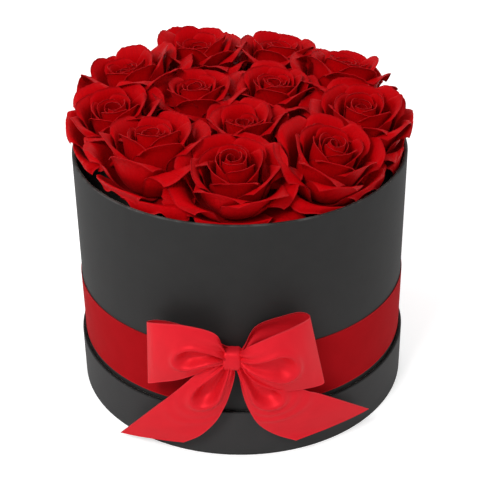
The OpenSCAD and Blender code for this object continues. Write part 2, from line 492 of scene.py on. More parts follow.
def finish_surface(
    nodes: Nodes,
    shader: bpy.types.Node,
    colour: bpy.types.NodeSocket,
    rough: tuple[bpy.types.NodeSocket, float, float],
    relief: tuple[bpy.types.NodeSocket, float, float],
) -> None:
    """Gives a shader its colour, roughness and relief.

    Args:
        nodes: The material's nodes.
        shader: The Principled node.
        colour: Its base colour.
        rough: A mask, how much roughness it adds and the roughness where it is 0.
        relief: A height from 0 to 1, its strength and the depth in metres that 1 stands for.
    """
    height, strength, depth = relief
    bump = nodes.add("Bump", Height=height, Strength=strength, Distance=depth)
    roughness = nodes.math("MULTIPLY_ADD", *rough)
    nodes.set(shader, Base_Color=colour, Roughness=roughness, Normal=bump.outputs[0])


@dataclass(frozen=True)
class PaperFinish:
    """Matte covering paper or bare board with a band of another colour along one edge: rubbed wear
    on the box and the board, a painted shadow line on the lid.
    """

    name: str
    edge_mark_height: float
    colour: Colour = (0.020, 0.0198, 0.0195)
    cloud_colour: Colour = (0.026, 0.0257, 0.0253)
    wear_and_shade_colour: Colour = (0.07, 0.069, 0.067)
    edge_mark_width: float = 0.0012
    edge_mark_evenness: float = 0.0
    smoothest: float = 0.56
    rough_spread: float = 0.12
    gloss: float = 0.22
    grain_scale: float = 1500.0
    grain_strength: float = 0.35
    grain_depth: float = 0.00006

    def material(self) -> bpy.types.Material:
        """Makes the material.

        Returns:
            The material.
        """
        material, nodes, shader = new_material(self.name)
        where = nodes.add("TexCoord").outputs["Object"]
        grain = FIBRE_GRAIN.place(nodes, Vector=where, Scale=self.grain_scale)
        edge_marks = EDGE_WEAR_AND_SHADE.place(
            nodes, Vector=where, Height=self.edge_mark_height, Width=self.edge_mark_width,
            Evenness=self.edge_mark_evenness,
        )
        base = nodes.mix(grain.outputs["Cloud"], rgba(self.colour), rgba(self.cloud_colour))
        # The band along the edge is lighter rubbed wear on the box and the board, and on the lid a
        # near-black painted shadow of the gap round the box.
        wear_and_shade = nodes.mix(edge_marks.outputs["Mask"], base, rgba(self.wear_and_shade_colour))
        fibre = grain.outputs["Fibre"]
        rough = (fibre, self.rough_spread, self.smoothest)
        finish_surface(nodes, shader, wear_and_shade, rough, (fibre, self.grain_strength, self.grain_depth))
        nodes.set(shader, Specular_IOR_Level=self.gloss)
        return material


@dataclass(frozen=True)
class PetalFinish:
    """Velvety petal, dark at its foot as painted shade deep in the flower and dull and pale at its
    rim as a painted highlight.
    """

    name: str = "rose_petal"
    colour: Colour = (0.46, 0.0004, 0.002)
    bright_colour: Colour = (0.54, 0.0008, 0.0035)
    vein_and_foot_shade_colour: Colour = (0.28, 0.0008, 0.002)
    rim_highlight_colour: Colour = (0.50, 0.010, 0.014)
    line_share: float = 0.2
    foot_shade_share: float = 0.6
    rim_highlight_share: float = 0.4
    smoothest: float = 0.5
    rough_spread: float = 0.16
    vein_strength: float = 0.4
    vein_depth: float = 0.0003

    def material(self) -> bpy.types.Material:
        """Makes the material.

        Returns:
            The material.
        """
        material, nodes, shader = new_material(self.name)
        where = nodes.add("UVMap", uv_map=PETAL_MAP).outputs[0]
        veins = VEINS.place(nodes, Vector=where, Density=1.0).outputs
        colour = nodes.mix(veins["Blotch"], rgba(self.colour), rgba(self.bright_colour))
        # Veins are darkened; the darker foot is painted shade deep in the flower and the pale rim
        # is a painted highlight.
        for mask, share, tone in (
            (nodes.ramp(veins["Lines"], 0.35, 0.75), self.line_share, self.vein_and_foot_shade_colour),
            (veins["Depth"], self.foot_shade_share, self.vein_and_foot_shade_colour),
            (veins["Rim"], self.rim_highlight_share, self.rim_highlight_colour),
        ):
            colour = nodes.mix(nodes.math("MULTIPLY", mask, share), colour, rgba(tone))
        lines = veins["Lines"]
        rough = (lines, self.rough_spread, self.smoothest)
        finish_surface(nodes, shader, colour, rough, (lines, self.vein_strength, self.vein_depth))
        nodes.set(
            shader,
            Specular_IOR_Level=0.14,
            Specular_Tint=(1.0, 0.12, 0.14, 1.0),
            Sheen_Weight=0.05,
            Sheen_Roughness=0.45,
            Sheen_Tint=(1.0, 0.1, 0.12, 1.0),
            Subsurface_Weight=0.15,
            Subsurface_Radius=(1.0, 0.12, 0.1),
            Subsurface_Scale=0.0015,
        )
        return material


@dataclass(frozen=True)
class GrainFinish:
    """Two tones of greenery, wood or foam, blended along its grain."""

    name: str
    colour: Colour
    other_colour: Colour
    grain_scale: float
    blend: tuple[float, float]
    rough_mask: GrainMask
    rough_spread: float
    smoothest: float
    relief_strength: float
    relief_depth: float
    stretch: Point | None = None
    cell_scale: float | None = None

    def material(self) -> bpy.types.Material:
        """Makes the material.

        Returns:
            The material.
        """
        material, nodes, shader = new_material(self.name)
        where = nodes.add("TexCoord").outputs["Object"]
        if self.stretch:
            where = nodes.stretch(where, self.stretch)
        grain = FIBRE_GRAIN.place(nodes, Vector=where, Scale=self.grain_scale).outputs
        blend = nodes.ramp(grain["Fibre"], *self.blend)
        colour = nodes.mix(blend, rgba(self.colour), rgba(self.other_colour))
        height = grain["Fibre"]
        if self.cell_scale:
            cells = nodes.add("TexVoronoi", Vector=where, Scale=self.cell_scale)
            height = cells.outputs["Distance"]
        rough = (grain[self.rough_mask.value], self.rough_spread, self.smoothest)
        relief = (height, self.relief_strength, self.relief_depth)
        finish_surface(nodes, shader, colour, rough, relief)
        return material


# The greenery is kept very dark: painted shade where sepals show in the gaps between the roses.
GREENERY = GrainFinish(
    "rose_green", colour=(0.007, 0.017, 0.004), other_colour=(0.022, 0.040, 0.012),
    grain_scale=450.0, blend=(0.3, 0.75), rough_mask=GrainMask.CLOUD, rough_spread=0.2,
    smoothest=0.45, relief_strength=0.4, relief_depth=0.0002,
)
PICK_WOOD = GrainFinish(
    "pick_wood", colour=(0.50, 0.32, 0.15), other_colour=(0.30, 0.17, 0.07),
    grain_scale=2500.0, blend=(0.35, 0.7), rough_mask=GrainMask.FIBRE, rough_spread=0.2,
    smoothest=0.55, relief_strength=0.5, relief_depth=0.0001, stretch=(1.0, 1.0, 0.06),
)
FLORAL_FOAM = GrainFinish(
    "floral_foam", colour=(0.007, 0.009, 0.006), other_colour=(0.018, 0.022, 0.014),
    grain_scale=600.0, blend=(0.4, 0.7), rough_mask=GrainMask.CLOUD, rough_spread=0.1,
    smoothest=0.88, relief_strength=0.9, relief_depth=0.0006, cell_scale=900.0,
)


@dataclass(frozen=True)
class SatinFinish:
    """Single-faced satin ribbon with a woven edge."""

    name: str
    colour: Colour
    slub_colour: Colour
    edge_colour: Colour
    half_width: float = 20.0
    edge_share: float = 0.6
    smoothest: float = 0.40
    rough_spread: float = 0.16
    metallic: float = 0.24
    gloss: float = 0.35
    thread_strength: float = 0.25
    thread_depth: float = 0.00012

    def material(self) -> bpy.types.Material:
        """Makes the material.

        Returns:
            The material.
        """
        material, nodes, shader = new_material(self.name)
        where = nodes.add("UVMap", uv_map=CLOTH_MAP).outputs[0]
        weave = SATIN_WEAVE.place(nodes, Vector=where, Half_width=self.half_width).outputs
        blend = nodes.ramp(weave["Slub"], 0.3, 0.75)
        face = nodes.mix(blend, rgba(self.colour), rgba(self.slub_colour))
        edge = nodes.math("MULTIPLY", weave["Selvedge"], self.edge_share)
        colour = nodes.mix(edge, face, rgba(self.edge_colour))
        threads = weave["Threads"]
        rough = (threads, self.rough_spread, self.smoothest)
        relief = (threads, self.thread_strength, self.thread_depth)
        finish_surface(nodes, shader, colour, rough, relief)
        nodes.set(
            shader,
            Metallic=self.metallic,
            Specular_IOR_Level=self.gloss,
            Specular_Tint=(1.0, 0.25, 0.27, 1.0),
        )
        return material


# Carton: the lid, the box and the foam


@dataclass(frozen=True)
class PaperCover:
    """A sleeve of covering paper, glued round a board wall and lapped over itself."""

    name: str
    outline: tuple[tuple[float, float], ...]
    seam_angle: float
    paper: float = 0.3
    lap: float = 7.0
    step_before: float = 1.5
    step_after: float = 0.5
    segments: int = 360

    def sheet(self) -> np.ndarray:
        """Sweeps the outline round the wall.

        Returns:
            The middle of the paper as a grid, down the outline and round the wall.
        """
        outline = np.array(self.outline)
        radius = outline[:, 0].max()
        angles = np.linspace(0.0, TURN + self.lap / radius, self.segments)
        low, high = TURN - self.step_before / radius, TURN + self.step_after / radius
        over = smoothstep(low, high, angles) * self.paper
        along = unit(np.gradient(outline, axis=0))
        out = np.stack([along[:, 1], -along[:, 0]], axis=1)
        placed = outline[:, None, :] + out[:, None, :] * over[None, :, None]
        turned = angles + self.seam_angle
        x = placed[..., 0] * np.cos(turned)
        y = placed[..., 0] * np.sin(turned)
        return np.stack([x, y, placed[..., 1]], axis=2)

    def build(self, material: bpy.types.Material) -> bpy.types.Object:
        """Builds the sleeve.

        Args:
            material: Its paper.

        Returns:
            The sleeve.
        """
        grid = self.sheet()
        down, around = np.meshgrid(
            np.linspace(0, 1, grid.shape[0]), np.linspace(0, 1, grid.shape[1]), indexing="ij"
        )
        shells = ThinShells(CLOTH_MAP)
        shells.add(grid, np.stack([around, down], axis=2), self.paper)
        return shells.build(self.name, material)


@dataclass
class Carton:
    """The covered box and the lid that it stands in."""

    turn_in: float = 12.0
    seam_angle: float = math.radians(97.0)
    paper: float = 0.3
    board: float = 1.5
    hem: float = 0.25
    bend_clear: float = 0.6
    top_clear: float = 4.0
    bend_rows: int = 13
    side_rows: int = 24
    turned_rows: int = 5

    def rounded_edge(self, outside: float, inside: float, top: float) -> list[tuple[float, float]]:
        """Lays paper over the top edge of a wall.

        Args:
            outside: Radius of the paper outside the wall.
            inside: Radius of the paper inside it.
            top: Height of the paper over the edge.

        Returns:
            Radii and heights from just below the edge outside to just below it inside.
        """
        bend = (outside - inside) / 2
        middle = (outside + inside) / 2
        angles = np.linspace(0.0, math.pi, self.bend_rows)
        arc = [(middle + bend * math.cos(a), top - bend + bend * math.sin(a)) for a in angles]
        below = top - bend - self.bend_clear
        return [(outside, below), *arc, (inside, below)]

    def cover(self, node: str, body: Body, material: bpy.types.Material) -> bpy.types.Object:
        """Builds the paper round one wall in the place of its plain CAD node.

        Args:
            node: Name of the node.
            body: The body that it is on.
            material: The paper.

        Returns:
            The sleeve.
        """
        low, high = (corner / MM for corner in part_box(node))
        outside = (high[0] - low[0]) / 2 - self.paper / 2
        inside = outside - self.board - self.paper
        top = high[2] - self.paper / 2
        bottom = low[2] + self.paper / 2
        climb_to = top - self.top_clear
        climb = [(outside, z) for z in np.linspace(bottom + self.hem, climb_to, self.side_rows)]
        fall_to = high[2] - self.turn_in
        fall = [(inside, z) for z in np.linspace(climb_to, fall_to, self.turned_rows)]
        foot = [(outside - self.hem, bottom)]
        if body is Body.BOX:
            foot.insert(0, (outside - self.turn_in, bottom))
        outline = [*foot, *climb, *self.rounded_edge(outside, inside, top), *fall]
        made = PaperCover(node + "_wrap", tuple(outline), self.seam_angle, self.paper)
        piece = made.build(material)
        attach(piece, body.value)
        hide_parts(node)
        return report(piece)

    def build(self) -> None:
        """Builds both sleeves and dresses the boards, linings and flat papers."""
        rim_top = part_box("box_side_paper")[1].z
        lid_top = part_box("lid_side_paper")[1].z
        box_paper = PaperFinish(name="box_paper", edge_mark_height=rim_top).material()
        # The lid's paper is the box's black paper painted lighter: painted light on the lid.
        lid_paper_painted_light = PaperFinish(
            name="lid_paper_painted_light",
            colour=(0.032, 0.0314, 0.0317),
            cloud_colour=(0.038, 0.0374, 0.0376),
            # Near black along the lid's top edge: a painted shadow of the gap between the lid and
            # the box.
            wear_and_shade_colour=(0.003, 0.003, 0.003),
            edge_mark_height=lid_top,
            edge_mark_evenness=0.5,
        ).material()
        board = PaperFinish(
            name="greyboard",
            colour=(0.34, 0.30, 0.25),
            cloud_colour=(0.42, 0.38, 0.32),
            wear_and_shade_colour=(0.5, 0.46, 0.4),
            edge_mark_height=rim_top,
            grain_scale=1100.0,
        ).material()
        self.cover("box_side_paper", Body.BOX, box_paper)
        self.cover("lid_side_paper", Body.LID, lid_paper_painted_light)
        dress(("lid_top_paper", "lid_lining"), lid_paper_painted_light)
        dress(("box_bottom_paper", "box_lining"), box_paper)
        dress(("lid_panel", "lid_rim", "box_wall", "box_base"), board)
        dress(("foam",), FLORAL_FOAM.material())


# Roses


@dataclass(frozen=True)
class Whorl:
    """The petals that make up one layer of a rose, from first to last of its spiral."""

    name: str
    first: int
    last: int


@dataclass(frozen=True)
class PetalGrowth:
    """How petals change along the spiral, from 0 at the heart to 1 at the outermost one.

    A table's first row is the place along the spiral and its second row the size there.
    A side is the petal's middle line before it curls, as radii and heights from its foot.
    Waves are how many plain waves add up, and their lowest and highest radians per unit.
    """

    golden_angle: float = math.radians(137.5)
    spiral_power: float = 0.92
    angle_spread: float = 0.16
    outer_from: float = 0.62
    grown_between: tuple[float, float] = (0.1, 0.4)
    widths: Rows = ((0, 0.25, 0.6, 1.0), (21.0, 27.0, 35.0, 48.0))
    width_spread: tuple[float, float] = (0.92, 1.08)
    foot_share: float = 0.34
    lip_narrowing: float = 0.22
    curl_sizes: Rows = ((0, 0.25, 0.6, 1.0), (0.1, 0.75, 1.25, 1.7))
    curl_spread: tuple[float, float] = (0.8, 1.2)
    curl_starts: Rows = ((0, 0.4, 1.0), (0.85, 0.76, 0.55))
    curl_end: float = 1.08
    middle_curl: float = 0.72
    side_curl: tuple[float, float] = (0.35, 0.8)
    lopsidedness: float = 0.3
    ruffle: float = 0.3
    ruffle_waves: Waves = (4, 2.5, 7.0)
    ragged: tuple[float, float] = (0.006, 0.02)
    ragged_waves: Waves = (5, 9.0, 34.0)
    corner: tuple[float, float] = (0.13, 0.02)
    reach_spread: float = 0.03
    peak_width: float = 0.8
    tucks: Rows = ((0, 0.3, 1.0), (1.0, 1.5, 1.3))
    tightest: float = 2.3
    lip_wave: float = 1.3
    lip_waves: Waves = (3, 4.0, 9.0)
    tilt: float = 1.2
    crease: float = 0.5
    crease_narrowness: float = 3.2
    dents: float = 0.35
    dent_waves: Waves = (3, 2.0, 5.0)
    hang: Rows = ((2.0, -3.0), (5.0, -6.0), (9.0, -12.0))
    sides: tuple[Rows, ...] = (
        ((1.6, 2), (3.6, 12), (5.0, 22), (5.0, 30), (3.6, 35)),
        ((2.2, 1), (6.5, 10), (8.8, 21), (9.2, 30), (9.0, 37)),
        ((3.0, 0), (10.5, 7), (14.5, 18), (16.0, 29), (17.0, 39)),
        ((3.8, -1), (13.0, 4), (19.0, 14), (22.0, 26), (25.5, 36)),
        ((4.5, -1), (13.0, 1), (21.0, 7), (26.5, 15), (31.5, 22)),
    )


GROWTH = PetalGrowth()


@dataclass
class Rose:
    """One open rose, built petal by petal along a spiral, with its sepals."""

    number: int
    lean: float = 10.0
    sideways: float = 0.0
    openness: float = 1.0
    tallness: float = 1.0
    rise: float = 0.0
    droop: float = 0.3
    spin: float = 0.0
    peak: float = 0.0
    peak_angle: float = 0.0
    petals: int = 28
    thickness: float = 0.35
    sepals: int = 5
    sepal_thickness: float = 0.5
    sepal_half_width: float = 3.4
    sepal_reach: float = 9.5
    sepal_drop: float = 15.0
    calyx_radius: float = 6.6
    across: int = 25
    along: int = 25
    first_seed: int = 4200
    pick_to_shoulder: float = 78.0
    pick_to_calyx: float = 56.0
    wall_clear: float = 0.8
    wall_softness: float = 9.0
    overhang: float = 6.0
    overhang_between: tuple[float, float] = (1.5, 14.0)
    whorls: tuple[Whorl, ...] = (
        Whorl("heart", 0, 9),
        Whorl("cup", 9, 18),
        Whorl("outer", 18, 28),
    )

    def __post_init__(self) -> None:
        """Finds where the rose stands and how it leans."""
        self.name = f"rose_{self.number:02d}"
        self.random = np.random.default_rng(self.first_seed + self.number)
        pick = sum(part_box(self.name + "_pick"), Vector()) / 2 / MM
        head = sum(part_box(self.name + "_head"), Vector()) / 2 / MM
        slope = Vector((head.x - pick.x, head.y - pick.y, 0.0))
        climb = math.sqrt(self.pick_to_shoulder**2 - slope.length**2)
        stem = slope + Vector((0, 0, climb))
        outward = slope.normalized()
        aside = Vector((0, 0, 1)).cross(outward)
        lean, sideways = math.radians(self.lean), math.radians(self.sideways)
        axis = Vector((0, 0, 1)) + outward * math.tan(lean) + aside * math.tan(sideways)
        axis.normalize()
        side = axis.cross(outward).normalized()
        front = side.cross(axis).normalized()
        self.frame = np.array(Matrix((front, side, axis)).transposed())
        calyx_top = pick + stem.normalized() * self.pick_to_calyx
        self.foot = np.array(calyx_top + axis * self.rise)
        self.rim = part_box("box_side_paper")[1].z / MM
        self.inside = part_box("foam")[1].x / MM - self.wall_clear

    def waves(
        self, count: int, lowest: float, highest: float
    ) -> Callable[[np.ndarray], np.ndarray]:
        """Makes a smooth irregular wave of height about 1.

        Args:
            count: How many plain waves it is made of.
            lowest: Lowest number of radians per unit.
            highest: Highest number of radians per unit.

        Returns:
            A function of the distance along an edge.
        """
        rates = self.random.uniform(lowest, highest, count)
        starts = self.random.uniform(0.0, TURN, count)
        heights = self.random.uniform(0.4, 1.0, count) / math.sqrt(count)

        def wave(at: np.ndarray) -> np.ndarray:
            """Adds up the plain waves."""
            at = np.asarray(at, float)[..., None]
            return (np.sin(at * rates + starts) * heights).sum(axis=-1)

        return wave

    def wall(self, t: float, grown: float, hang: float, v: np.ndarray) -> np.ndarray:
        """Traces a petal's middle line before it curls.

        Args:
            t: The petal's place along the spiral.
            grown: How much of the rose's openness and tallness it takes on.
            hang: How far it droops over the rim.
            v: Places along the petal, from 0 at the foot to 1 at the lip.

        Returns:
            The radius and height at each place.
        """
        knots = through(np.array(GROWTH.sides), np.array([t]))[0]
        open_by = 1.0 + (self.openness - 1.0) * grown
        tall_by = 1.0 + (self.tallness - 1.0) * grown
        knots = knots * np.array([open_by, tall_by])
        knots[2:] += hang * np.array(GROWTH.hang)
        return through(knots, v)

    def petal(self, order: int) -> np.ndarray:
        """Shapes one petal of the spiral.

        Args:
            order: Its number, from 0 at the heart.

        Returns:
            A grid of points, from the foot to the lip and from side to side.
        """
        draw = self.random.uniform
        t = (order / (self.petals - 1)) ** GROWTH.spiral_power
        s = np.linspace(-1.0, 1.0, self.across)[None, :]
        v = np.linspace(0.0, 1.0, self.along)[:, None]
        turned_by = draw(-GROWTH.angle_spread, GROWTH.angle_spread)
        angle = self.spin + order * GROWTH.golden_angle + turned_by
        outer = float(smoothstep(GROWTH.outer_from, 1.0, t))
        grown = float(smoothstep(*GROWTH.grown_between, t))
        hang = outer * self.droop * max(0.0, math.cos(angle)) ** 0.7
        wall = self.wall(t, grown, hang, v[:, 0])
        step = np.diff(wall, axis=0, prepend=wall[:1])
        length = np.hypot(step[:, 0], step[:, 1])[:, None]
        heading = np.arctan2(step[:, 1], step[:, 0])
        heading[0] = heading[1]

        # The lip rolls back, more at its sides than in its middle.
        curl_size = float(np.interp(t, *GROWTH.curl_sizes)) * draw(*GROWTH.curl_spread)
        sideways = draw(*GROWTH.side_curl) * (0.4 + 0.6 * t)
        lopsided = draw(-GROWTH.lopsidedness, GROWTH.lopsidedness)
        ruffle = GROWTH.ruffle * outer * self.waves(*GROWTH.ruffle_waves)(s)
        rolled = GROWTH.middle_curl + sideways * np.abs(s + lopsided * 0.5) ** 2 + ruffle
        curl_from = float(np.interp(t, *GROWTH.curl_starts))
        curl = curl_size * rolled * smoothstep(curl_from, GROWTH.curl_end, v)
        turned = heading[:, None] - curl

        # Its outline is uneven, cut back at the corners and sometimes drawn up to a peak.
        ragged, more_ragged = GROWTH.ragged
        uneven = self.waves(*GROWTH.ragged_waves)(s) * (ragged + more_ragged * outer)
        corner, less_corner = GROWTH.corner
        cut = (corner - less_corner * outer) * np.abs(s) ** 5.0
        reach = 1.0 - cut + uneven + GROWTH.reach_spread * draw(-1, 1)
        reach = reach + GROWTH.reach_spread * lopsided * s
        facing = float(smoothstep(0.7, 0.97, math.cos(angle - self.peak_angle)))
        reach = reach + self.peak * grown * facing * np.exp(-((s / GROWTH.peak_width) ** 2))
        run = length * (1.0 + (reach - 1.0) * smoothstep(0.0, 0.9, v) * 1.6)
        radius = wall[0, 0] + np.cumsum(run * np.cos(turned), axis=0)
        height = wall[0, 1] + np.cumsum(run * np.sin(turned), axis=0)
        tuck = float(np.interp(t, *GROWTH.tucks))
        radius = radius + tuck * s * smoothstep(0.05, 0.5, v)

        # It widens from a narrow foot and wraps round the rose's axis.
        width = float(np.interp(t, *GROWTH.widths)) * draw(*GROWTH.width_spread)
        swelling = np.sin(0.5 * math.pi * np.clip(v / 0.62, 0, 1))
        fullness = GROWTH.foot_share + (1.0 - GROWTH.foot_share) * swelling
        fullness = fullness * (1.0 - GROWTH.lip_narrowing * smoothstep(0.7, 1.0, v))
        across_angle = s * fullness * width / 2 / np.maximum(radius, GROWTH.tightest)

        # Waves, a tilt, a crease down the middle and shallow dents finish it.
        ruffled = outer * (0.4 + 0.6 * np.abs(s)) * smoothstep(0.55, 1.0, v)
        height = height + ruffled * self.waves(*GROWTH.lip_waves)(s) * GROWTH.lip_wave
        height = height + draw(-1, 1) * GROWTH.tilt * s * v + draw(-1.0, 1.0) * v
        crease = np.exp(-((s * GROWTH.crease_narrowness) ** 2)) * smoothstep(0.3, 0.9, v)
        dents = self.waves(*GROWTH.dent_waves)(v + 0.3 * s) * GROWTH.dents
        radius = radius - crease * GROWTH.crease * t + dents * smoothstep(0, 0.4, v)
        return self.stand(radius, angle + across_angle, height)

    def stand(self, radius: np.ndarray, angle: np.ndarray, height: np.ndarray) -> np.ndarray:
        """Places points given round the rose's own axis.

        Args:
            radius: Distance from the axis.
            angle: Angle round the axis, from the side that faces out of the box.
            height: Height above the calyx.

        Returns:
            The points in the object's frame.
        """
        local = np.stack([radius * np.cos(angle), radius * np.sin(angle), height], axis=-1)
        return self.keep_in(local @ self.frame.T + self.foot)

    def keep_in(self, points: np.ndarray) -> np.ndarray:
        """Presses points that would pass through the box's wall back inside it.

        Args:
            points: Points in the object's frame.

        Returns:
            The points, with the outermost ones crowded together at the wall or just over it.
        """
        low, high = (self.rim + above for above in self.overhang_between)
        allowed = self.inside + self.overhang * smoothstep(low, high, points[..., 2])
        away = np.hypot(points[..., 0], points[..., 1])
        soft = self.wall_softness
        start = allowed - soft
        kept = np.where(away > start, start + soft * np.tanh((away - start) / soft), away)
        scale = (kept / np.maximum(away, 1.0))[..., None]
        return points * np.concatenate([scale, scale, np.ones_like(scale)], axis=-1)

    def build_petals(self, material: bpy.types.Material) -> None:
        """Builds the rose's layers of petals in the place of its plain head.

        Args:
            material: The petals' finish.
        """
        u, v = np.meshgrid(
            np.linspace(0.01, 0.99, self.across), np.linspace(0, 1, self.along), indexing="xy"
        )
        place = np.stack([u, v], axis=2)
        for whorl in self.whorls:
            shells = ThinShells(PETAL_MAP)
            for order in range(whorl.first, whorl.last):
                tone = np.array([order * 2.0, 0.0])
                shells.add(self.petal(order), place + tone, self.thickness)
            piece = shells.build(f"{self.name}_{whorl.name}_petals", material)
            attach(piece, Body.BOX.value)
            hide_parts(self.name + "_head")
            report(piece)

    def build_sepals(self, material: bpy.types.Material) -> None:
        """Builds the five sepals that hang from the calyx, and dresses the calyx.

        Args:
            material: The greenery's finish.
        """
        shells = ThinShells(PETAL_MAP)
        s = np.linspace(-1.0, 1.0, 7)[None, :]
        v = np.linspace(0.0, 1.0, 13)[:, None]
        place = np.stack([s * 0.49 + 0.5 + 0 * v, v + 0 * s], axis=2)
        for number in range(self.sepals):
            angle = self.spin + number * TURN / self.sepals
            curl = self.random.uniform(0.7, 1.2)
            radius = self.calyx_radius + self.sepal_reach * np.sin(curl * v * 1.3) + 0 * s
            height = -1.0 - self.sepal_drop * v**1.6 * curl - 1.2 * s**2 * (1 - v)
            width = self.sepal_half_width * (1 - v**1.5) + 0.15
            sheet = self.stand(radius, angle + s * width / radius, height)
            shells.add(sheet, place, self.sepal_thickness)
        piece = shells.build(self.name + "_sepals", material)
        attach(piece, Body.BOX.value)
        report(piece)
        dress((self.name + "_calyx",), material)


@dataclass
class Bouquet:
    """The twelve roses on their picks, each with its own habit."""

    habits: tuple[dict[str, float], ...] = (
        {
            "lean": 14, "sideways": 6, "spin": 1.4, "openness": 1.3, "tallness": 1.06, "rise": 2.0,
            "peak": 0.16, "peak_angle": 0.7,
        },
        {
            "lean": 3, "sideways": 2, "spin": 1.2, "openness": 1.1, "tallness": 1.08, "rise": 2.0,
            "peak": 0.12, "peak_angle": 0.45,
        },
        {"lean": 8, "sideways": -4, "spin": 3.3, "openness": 1.06, "rise": 1.5},
        {"lean": 14, "sideways": 2, "spin": 0.9, "openness": 1.18, "rise": 2.0, "peak": 0.1},
        {"lean": 4, "sideways": -6, "spin": 2.6, "openness": 1.2, "droop": 0.8},
        {"lean": 17, "sideways": 4, "spin": 4.4, "openness": 1.14, "tallness": 0.94, "droop": 1.0},
        {"lean": 13, "sideways": 0, "spin": 5.2, "openness": 1.16, "tallness": 0.86, "droop": 1.0},
        {"lean": -3, "sideways": -3, "spin": 1.2, "openness": 1.26, "droop": 1.8},
        {"lean": 6, "sideways": 6, "spin": 2.1, "openness": 1.1, "droop": 1.0},
        {"lean": 1, "sideways": 0, "spin": 3.9},
        {"lean": 0, "sideways": -4, "spin": 0.2, "openness": 0.96},
        {"lean": 1, "sideways": -2, "spin": 2.9, "openness": 0.92, "tallness": 1.1, "rise": -6.0},
    )

    def build(self) -> None:
        """Builds every rose with its sepals and dresses its pick."""
        petal = PetalFinish().material()
        green = GREENERY.material()
        wood = PICK_WOOD.material()
        for number, habit in enumerate(self.habits, start=1):
            rose = Rose(number, **habit)
            rose.build_petals(petal)
            rose.build_sepals(green)
            dress((rose.name + "_pick",), wood)


# Ribbon and bow


@dataclass(frozen=True)
class Dimple:
    """A teardrop hollow that runs out of the knot, with a rim and faint ripples round it."""

    end: float
    depth: float
    width: float = 0.42
    centre: float = 0.0
    rim: float = 1.2
    ripple: float = 0.0
    deepest_at: float = 0.78
    taper: float = 0.7
    rim_at: float = 1.35
    rim_width: float = 0.32
    ripples_at: tuple[float, ...] = (2.2, 3.0)
    ripple_width: float = 0.26

    def depths(self, u: np.ndarray, s: np.ndarray) -> np.ndarray:
        """Works out how far the cloth stands out.

        Args:
            u: Share of the way from the knot to the cloth's end.
            s: Place across the cloth, from -1 to 1.

        Returns:
            The distances in millimetres, negative in the hollow.
        """
        middle = self.end * self.deepest_at
        far = np.maximum(u - middle, 0.0) / (self.end - middle)
        near = np.maximum(middle - u, 0.0) / middle
        narrow = 1.0 - self.taper * near
        off = np.sqrt(far**2 + ((s - self.centre) / (self.width * narrow)) ** 2)
        hollow = -self.depth * np.exp(-(off**4.0)) * narrow
        rim = self.rim * np.exp(-(((off - self.rim_at) / self.rim_width) ** 2))
        rings = sum(
            np.exp(-(((off - ring) / self.ripple_width) ** 2)) for ring in self.ripples_at
        )
        return hollow + rim + self.ripple * rings * smoothstep(0.3, 0.55, u)


@dataclass(frozen=True)
class RibbonRun:
    """A length of ribbon laid between two edges, given rung by rung from the knot.

    A rung is a point on one edge and the point across from it on the other.
    """

    name: str
    rungs: Rows
    bulge: float
    dimple: Dimple
    front_share: float
    flat_length: float
    held: Held
    flat_area: float | None = None
    edge_wave: float = 0.5
    pleat: float = 0.9
    along: int = 150
    across: int = 49

    def grid(self, width: float) -> tuple[np.ndarray, np.ndarray]:
        """Lays the ribbon.

        Args:
            width: Width of the flat ribbon in millimetres.

        Returns:
            The grid of points and the place of each point on the flat ribbon.
        """
        u = np.linspace(0.0, 1.0, self.along)[:, None]
        s = np.linspace(-1.0, 1.0, self.across)[None, :]
        edges = through(np.array(self.rungs).reshape(-1, 2, 3), u[:, 0])
        one, other = edges[:, 0][:, None, :], edges[:, 1][:, None, :]
        base = one + (other - one) * (s[..., None] + 1.0) / 2.0
        normals = grid_normals(base)
        front = np.clip(u / self.front_share, 0.0, 1.0)
        on_front, back = 1.0, 0.0
        if self.front_share < 1.0:
            on_front = 1.0 - smoothstep(0.8, 1.0, front)
            back = smoothstep(self.front_share, 1.0, u)

        # The cloth swells away from the knot, which gathers it in pleats, and is hollowed.
        swell = np.sin(math.pi * np.clip(front * 0.8 + 0.1, 0, 1))
        lift = self.bulge * (1.0 - np.abs(s) ** 2.2) * swell
        lift = lift + self.dimple.depths(front, s) * smoothstep(0.0, 0.12, front)
        gathered = 1.0 - smoothstep(0.02, 0.55, front)
        pleats = self.pleat * np.cos(3.0 * math.pi * s + 0.6) * gathered
        lift = (lift + pleats) * on_front
        lift = lift + self.pleat * np.cos(3.0 * math.pi * s) * back
        sway = np.sin(7.0 * u + 2.0 * s) * self.edge_wave * 0.5
        laid = base + normals * (lift + sway * np.abs(s) * on_front)[..., None]

        middle = laid[:, self.across // 2]
        run = np.linalg.norm(np.diff(middle, axis=0, prepend=middle[:1]), axis=1)
        along = np.cumsum(run)[:, None] + 0.0 * s
        return laid, np.stack([s * width / 2 + 0.0 * along, along], axis=2)


